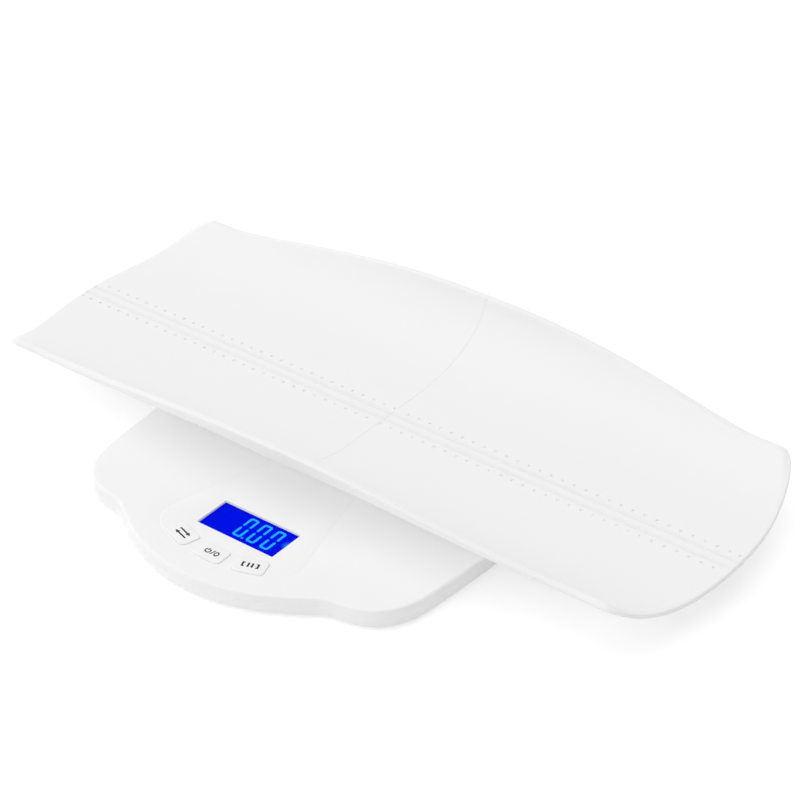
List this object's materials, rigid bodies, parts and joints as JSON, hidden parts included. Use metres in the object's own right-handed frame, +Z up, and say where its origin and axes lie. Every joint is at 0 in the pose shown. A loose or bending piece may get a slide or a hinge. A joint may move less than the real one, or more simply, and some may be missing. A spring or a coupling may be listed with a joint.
{
  "type": "digital baby weighing scale",
  "caption": "White digital baby scale: a long curved trough tray with a centre seam on a slim base, with a blue display and keys on a bowed front.",
  "frame": {"origin": "on the table, under the middle of the outer box", "axes": "+X along the tray, -Y towards the display side, +Z up"},
  "size_m": [0.607, 0.3608, 0.0659],
  "materials": {
    "tray_plastic": "glossy moulded white",
    "base_plastic": "glossy moulded white",
    "key_plastic": "satin white",
    "clear_pane": "clear pane",
    "display_blue": "lit blue display",
    "lamp_white": "milky light guide",
    "board_green": "printed circuit board",
    "switch_plastic": "black switch body",
    "foot_plastic": "white moulded foot",
    "pad_rubber": "soft grey rubber",
    "battery_jacket": "printed steel jacket left plain",
    "spring_steel": "nickel-plated spring steel",
    "steel": "zinc-plated steel"
  },
  "bodies": {
    "base": {"base_cover": "base_plastic", "base_shell": "base_plastic", "display_window": "clear_pane", "display_panel": "display_blue", "backlight": "lamp_white", "circuit_board": "board_green", "switch_left": "switch_plastic", "switch_middle": "switch_plastic", "switch_right": "switch_plastic", "load_cell_front_left": "steel", "foot_front_left": "foot_plastic", "foot_pad_front_left": "pad_rubber", "load_cell_front_right": "steel", "foot_front_right": "foot_plastic", "foot_pad_front_right": "pad_rubber", "load_cell_rear_left": "steel", "foot_rear_left": "foot_plastic", "foot_pad_rear_left": "pad_rubber", "load_cell_rear_right": "steel", "foot_rear_right": "foot_plastic", "foot_pad_rear_right": "pad_rubber", "battery_1": "battery_jacket", "battery_2": "battery_jacket", "battery_3": "battery_jacket", "battery_4": "battery_jacket", "battery_contact_left": "spring_steel", "battery_contact_right": "spring_steel", "screw_1": "steel", "screw_2": "steel", "screw_3": "steel", "screw_4": "steel", "screw_5": "steel", "screw_6": "steel"},
    "tray_left_body": {"tray_left": "tray_plastic"},
    "tray_right_body": {"tray_right": "tray_plastic"},
    "key_left_body": {"key_left": "key_plastic"},
    "key_middle_body": {"key_middle": "key_plastic"},
    "key_right_body": {"key_right": "key_plastic"},
    "battery_door_body": {"battery_door": "base_plastic"}
  },
  "joints": [
    {"name": "key_left_press", "type": "slide", "parent": "base", "child": "key_left_body", "axis": [0, 0, -1], "range_m": [0, 0.0005], "stiffness_N_per_m": 1500, "springref_m": -0.0002},
    {"name": "key_middle_press", "type": "slide", "parent": "base", "child": "key_middle_body", "axis": [0, 0, -1], "range_m": [0, 0.0005], "stiffness_N_per_m": 1500, "springref_m": -0.0002},
    {"name": "key_right_press", "type": "slide", "parent": "base", "child": "key_right_body", "axis": [0, 0, -1], "range_m": [0, 0.0005], "stiffness_N_per_m": 1500, "springref_m": -0.0002},
    {"name": "tray_left_lift", "type": "slide", "parent": "base", "child": "tray_left_body", "axis": [0, 0, 1], "range_m": [0, 0.06]},
    {"name": "tray_right_lift", "type": "slide", "parent": "base", "child": "tray_right_body", "axis": [0, 0, 1], "range_m": [0, 0.06]},
    {"name": "battery_door_swing", "type": "hinge", "parent": "base", "child": "battery_door_body", "pos_m": [0, 0.0907, 0.0025], "axis": [1, 0, 0], "range_deg": [0, 30]}
  ]
}
